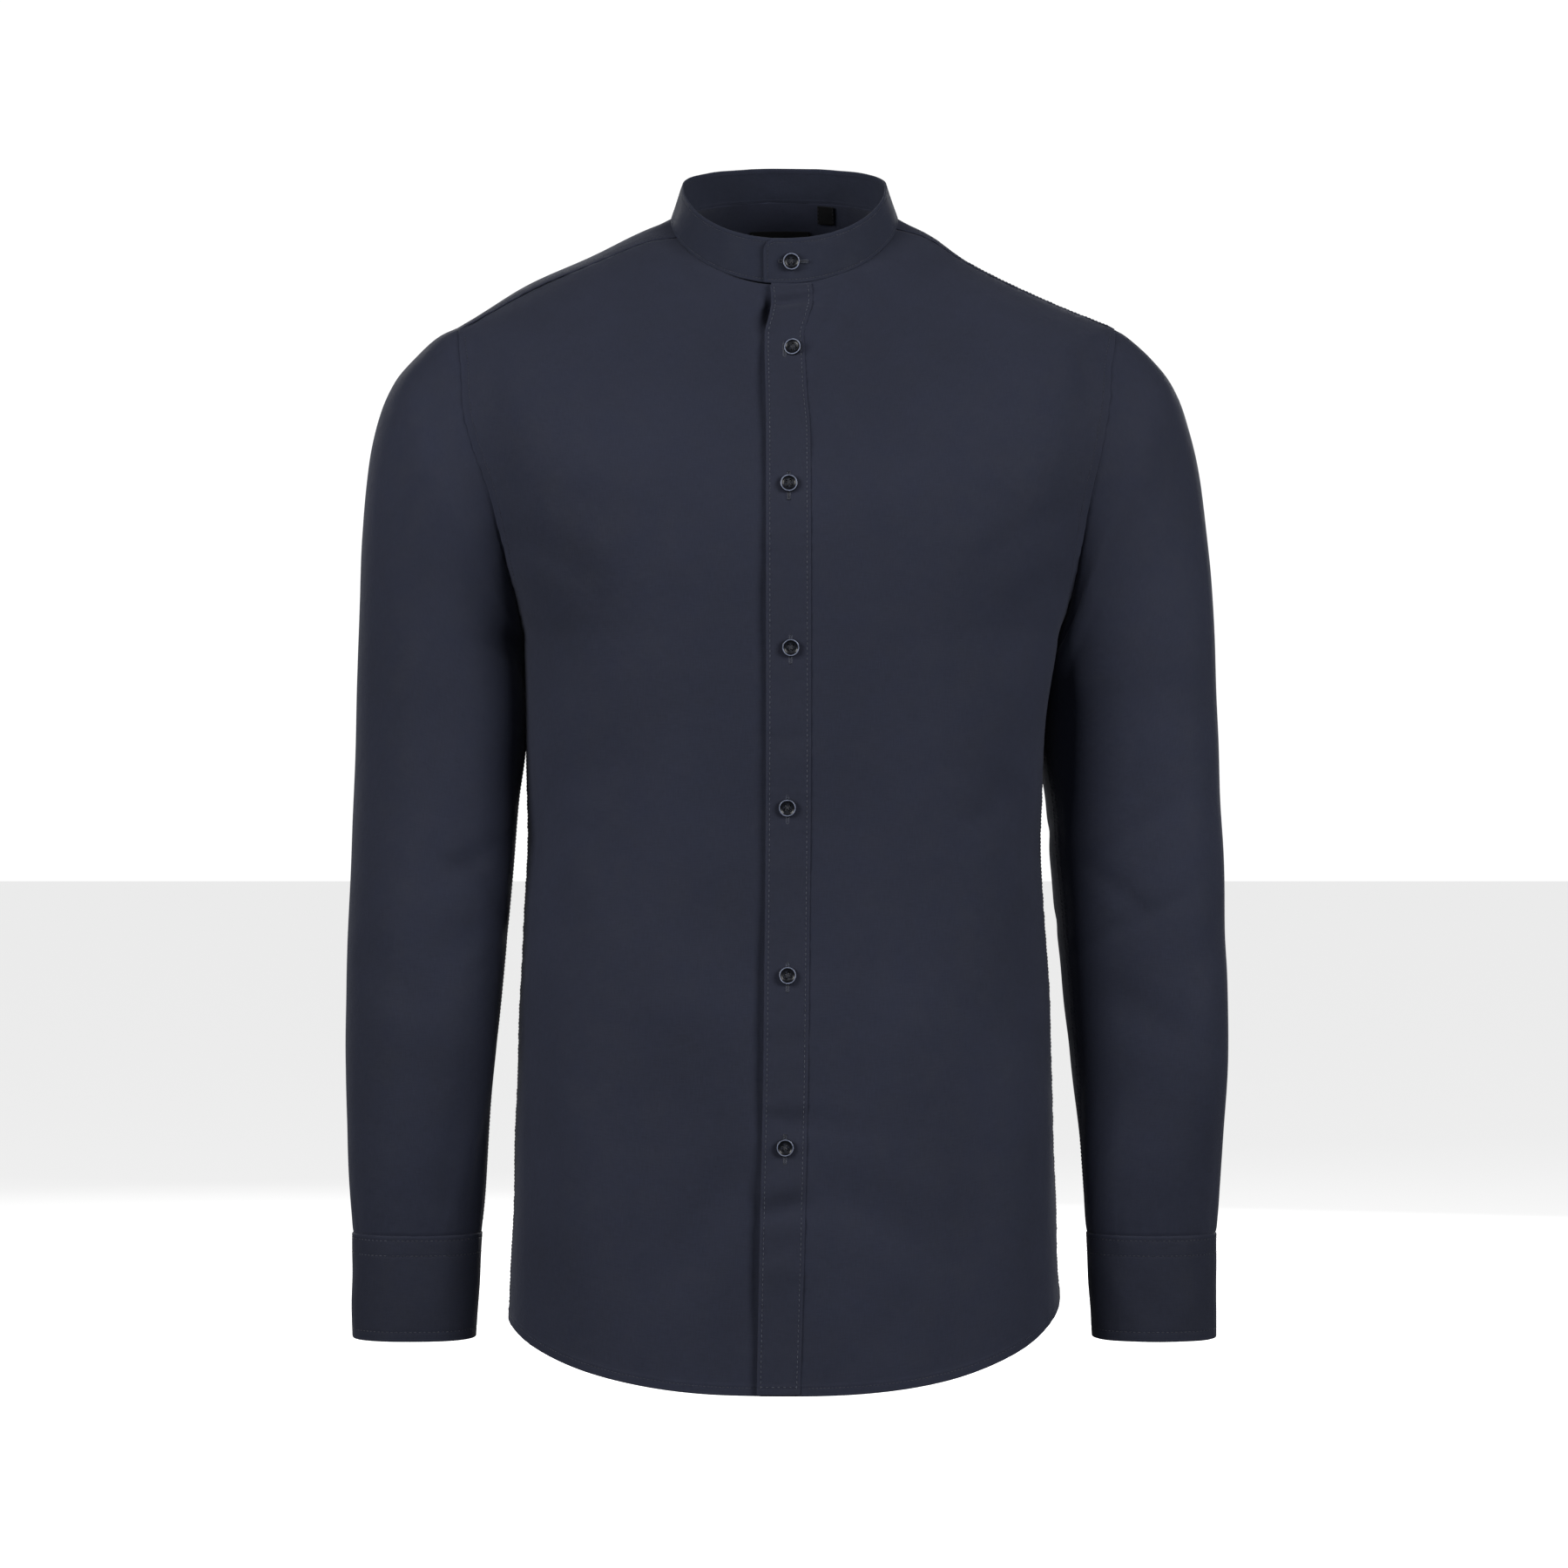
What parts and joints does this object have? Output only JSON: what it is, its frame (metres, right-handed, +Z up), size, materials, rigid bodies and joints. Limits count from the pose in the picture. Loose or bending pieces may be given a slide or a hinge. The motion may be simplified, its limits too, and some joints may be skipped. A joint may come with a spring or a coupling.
{
  "type": "mandarin collar shirt",
  "caption": "Long-sleeved buttoned shirt with a stand collar, in its worn shape, hollow and open at neck, hem and cuffs.",
  "frame": {"origin": "middle of the collar's base, where the wearer's neck and shoulders hold the shirt", "axes": "+Z up, +X to the wearer's left (right in the picture), the front faces -Y"},
  "size_m": [0.5683, 0.2373, 0.7973],
  "materials": {
    "cloth": "fine smooth cotton weave, matt with a faint sheen",
    "collar_cloth": "fine cotton weave, stiffened",
    "cuff_cloth": "fine cotton weave, stiffened",
    "label": "plain woven tape",
    "button": "polished"
  },
  "bodies": {
    "root": {"front_left": "cloth", "front_right": "cloth", "placket": "cloth", "back": "cloth", "yoke": "cloth", "collar_band": "collar_cloth", "sleeve_left": "cloth", "sleeve_right": "cloth", "sleeve_placket_left": "cloth", "sleeve_placket_right": "cloth", "cuff_left": "cuff_cloth", "cuff_right": "cuff_cloth", "neck_label": "label", "size_tab": "label", "button_collar": "button", "button_1": "button", "button_2": "button", "button_3": "button", "button_4": "button", "button_5": "button", "button_6": "button", "button_cuff_left": "button", "button_cuff_right": "button"}
  },
  "joints": []
}
